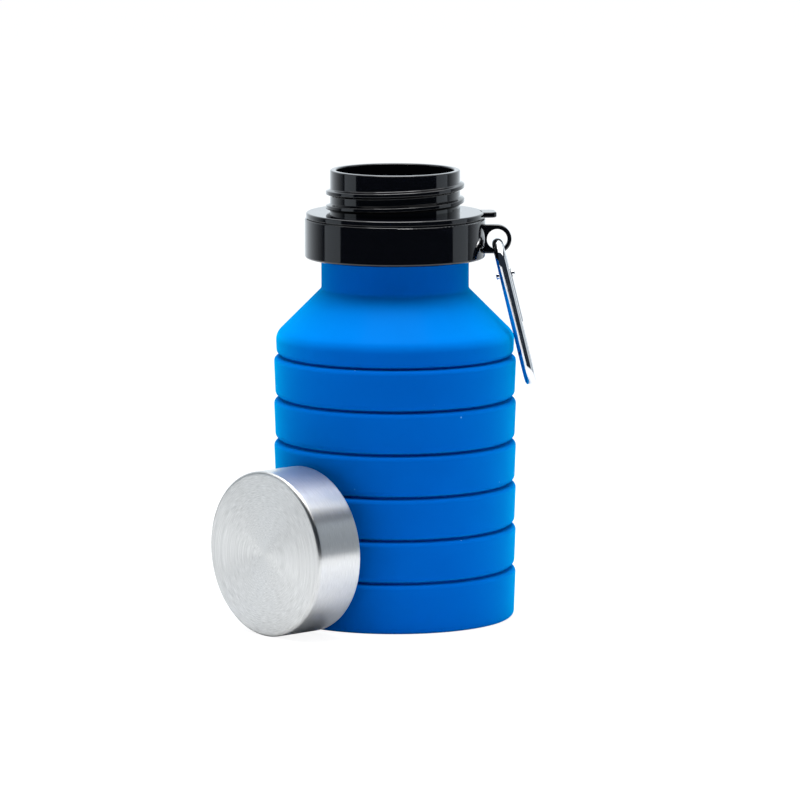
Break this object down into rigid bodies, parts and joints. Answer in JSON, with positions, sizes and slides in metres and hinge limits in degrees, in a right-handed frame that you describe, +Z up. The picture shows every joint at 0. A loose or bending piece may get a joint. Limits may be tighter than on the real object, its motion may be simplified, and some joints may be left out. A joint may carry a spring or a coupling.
{
  "type": "folding water bottle",
  "caption": "Silicone bottle whose banded body folds down, with a threaded plastic spout, clamp collar, carabiner on a loop and a loose steel screw cap",
  "frame": {"origin": "centre of the base, on the surface that the bottle stands on", "axes": "+Z up the bottle's axis out of the mouth, +X towards the carrying loop on the collar"},
  "size_m": [0.1076, 0.102, 0.1496],
  "materials": {
    "silicone": "matte moulded silicone",
    "black_plastic": "polished injection moulding",
    "brushed_steel": "circular brushing on the face, brushing round the side",
    "liner_plastic": "satin moulding",
    "gasket": "translucent white silicone",
    "chrome": "polished plating",
    "spring_steel": "drawn wire"
  },
  "bodies": {
    "base": {"base": "silicone"},
    "tier_1": {"fold_1": "silicone", "band_1": "silicone"},
    "tier_2": {"fold_2": "silicone", "band_2": "silicone"},
    "tier_3": {"fold_3": "silicone", "band_3": "silicone"},
    "tier_4": {"fold_4": "silicone", "band_4": "silicone"},
    "top": {"fold_5": "silicone", "band_5": "silicone", "shoulder": "silicone", "collar": "black_plastic", "spout": "black_plastic"},
    "carabiner": {"carabiner_frame": "chrome"},
    "gate": {"carabiner_gate": "chrome", "gate_rivet": "chrome", "latch_pin": "chrome", "gate_plunger": "spring_steel", "gate_spring": "spring_steel"},
    "cap": {"cap_shell": "brushed_steel", "cap_liner": "liner_plastic", "cap_gasket": "gasket"}
  },
  "joints": [
    {"name": "collapse", "type": "slide", "parent": "base", "child": "tier_1", "axis": [0, 0, 1], "range_m": [-0.009, 0], "deforming": ["fold_1"]},
    {"name": "collapse_2", "type": "slide", "parent": "tier_1", "child": "tier_2", "axis": [0, 0, 1], "range_m": [-0.009, 0], "deforming": ["fold_2"]},
    {"name": "collapse_3", "type": "slide", "parent": "tier_2", "child": "tier_3", "axis": [0, 0, 1], "range_m": [-0.009, 0], "deforming": ["fold_3"]},
    {"name": "collapse_4", "type": "slide", "parent": "tier_3", "child": "tier_4", "axis": [0, 0, 1], "range_m": [-0.009, 0], "deforming": ["fold_4"]},
    {"name": "collapse_5", "type": "slide", "parent": "tier_4", "child": "top", "axis": [0, 0, 1], "range_m": [-0.009, 0], "deforming": ["fold_5"]},
    {"name": "carabiner_swing", "type": "hinge", "parent": "top", "child": "carabiner", "pos_m": [0.03395, 0, 0.1253], "axis": [0, -1, 0], "range_deg": [0, 120]},
    {"name": "gate_hinge", "type": "hinge", "parent": "carabiner", "child": "gate", "pos_m": [0.03687, 0.01, 0.11325], "axis": [-0.972, 0, -0.2351], "range_deg": [0, 32], "stiffness_Nm_per_rad": 0.05, "springref_deg": -17.19},
    {"name": "cap_away", "type": "slide", "parent": "base", "child": "cap", "axis": [-0.7373, -0.6756, 0], "range_m": [0, 0.06]}
  ],
  "couplings": [
    {"joint": "collapse_2", "follows": "collapse", "ratio": 1},
    {"joint": "collapse_3", "follows": "collapse", "ratio": 1},
    {"joint": "collapse_4", "follows": "collapse", "ratio": 1},
    {"joint": "collapse_5", "follows": "collapse", "ratio": 1}
  ]
}
